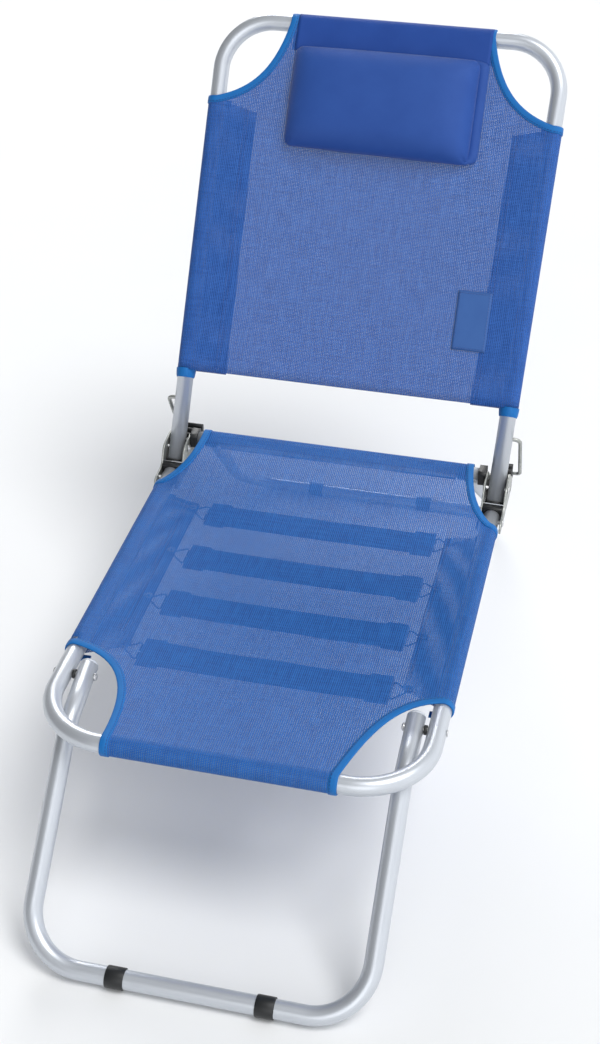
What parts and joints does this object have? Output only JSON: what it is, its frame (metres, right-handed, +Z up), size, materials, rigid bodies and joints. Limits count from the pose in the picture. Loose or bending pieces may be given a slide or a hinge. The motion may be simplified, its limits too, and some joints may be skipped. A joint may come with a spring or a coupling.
{
  "type": "folding beach lounge chair",
  "caption": "Low folding beach lounger with an aluminium tube frame, reclining back held by wire props in racks, mesh slings, elastic seat straps and a pillow.",
  "frame": {"origin": "on the floor, under the middle of the whole chair's bounding box", "axes": "+Z up, foot end towards -Y, reclined back towards +Y, X across the chair"},
  "size_m": [0.56, 1.2366, 0.8348],
  "materials": {
    "aluminium_tube": "satin drawn tube",
    "zinc_steel": "zinc plated, dull",
    "bright_steel": "bright plated",
    "black_plastic": "moulded, matt",
    "grey_plastic": "moulded, satin",
    "sling_mesh": "open coated-yarn mesh",
    "pillow_cloth": "padded mesh cloth",
    "strap_elastic": "woven elastic",
    "label_cloth": "blank woven patch"
  },
  "bodies": {
    "seat": {"seat_frame": "aluminium_tube", "crossbar": "aluminium_tube", "seat_sling": "sling_mesh", "seat_strap_1": "strap_elastic", "strap_hook_1_left": "bright_steel", "eyelet_1_left": "bright_steel", "strap_hook_1_right": "bright_steel", "eyelet_1_right": "bright_steel", "seat_strap_2": "strap_elastic", "strap_hook_2_left": "bright_steel", "eyelet_2_left": "bright_steel", "strap_hook_2_right": "bright_steel", "eyelet_2_right": "bright_steel", "seat_strap_3": "strap_elastic", "strap_hook_3_left": "bright_steel", "eyelet_3_left": "bright_steel", "strap_hook_3_right": "bright_steel", "eyelet_3_right": "bright_steel", "seat_strap_4": "strap_elastic", "strap_hook_4_left": "bright_steel", "eyelet_4_left": "bright_steel", "strap_hook_4_right": "bright_steel", "eyelet_4_right": "bright_steel", "rail_plug_left": "black_plastic", "prop_rack_left": "black_plastic", "crossbar_collar_left": "black_plastic", "front_leg_spacer_left": "black_plastic", "inner_plate_left": "zinc_steel", "outer_plate_left": "zinc_steel", "rail_rivet_left": "bright_steel", "recline_pin_left": "bright_steel", "front_leg_rivet_left": "bright_steel", "rail_plug_right": "black_plastic", "prop_rack_right": "black_plastic", "crossbar_collar_right": "black_plastic", "front_leg_spacer_right": "black_plastic", "inner_plate_right": "zinc_steel", "outer_plate_right": "zinc_steel", "rail_rivet_right": "bright_steel", "recline_pin_right": "bright_steel", "front_leg_rivet_right": "bright_steel"},
    "back": {"back_frame": "aluminium_tube", "back_sling": "sling_mesh", "pillow": "pillow_cloth", "label": "label_cloth", "back_shoe_left": "black_plastic", "back_shoe_right": "black_plastic"},
    "front_leg": {"front_leg": "aluminium_tube", "front_leg_plug_left": "grey_plastic", "front_leg_plug_right": "grey_plastic", "front_foot_band_left": "black_plastic", "front_foot_band_right": "black_plastic"},
    "rear_leg": {"rear_leg": "aluminium_tube", "rear_leg_hub_left": "black_plastic", "rear_leg_hub_right": "black_plastic", "rear_foot_band_left": "black_plastic", "rear_foot_band_right": "black_plastic"},
    "prop_left": {"wire_prop_left": "zinc_steel"},
    "prop_right": {"wire_prop_right": "zinc_steel"}
  },
  "joints": [
    {"name": "back_recline", "type": "hinge", "parent": "seat", "child": "back", "pos_m": [0, 0.20977, 0.27199], "axis": [1, 0, 0], "range_deg": [0, 119]},
    {"name": "front_leg_fold", "type": "hinge", "parent": "seat", "child": "front_leg", "pos_m": [0, -0.3149, 0.246], "axis": [1, 0, 0], "range_deg": [0, 133]},
    {"name": "rear_leg_fold", "type": "hinge", "parent": "seat", "child": "rear_leg", "pos_m": [0, 0.2291, 0.281], "axis": [1, 0, 0], "range_deg": [-105, 0]},
    {"name": "prop_left_lift", "type": "hinge", "parent": "back", "child": "prop_left", "pos_m": [0, 0.25471, 0.33452], "axis": [1, 0, 0], "range_deg": [0, 40]},
    {"name": "prop_right_lift", "type": "hinge", "parent": "back", "child": "prop_right", "pos_m": [0, 0.25471, 0.33452], "axis": [1, 0, 0], "range_deg": [0, 40]}
  ]
}
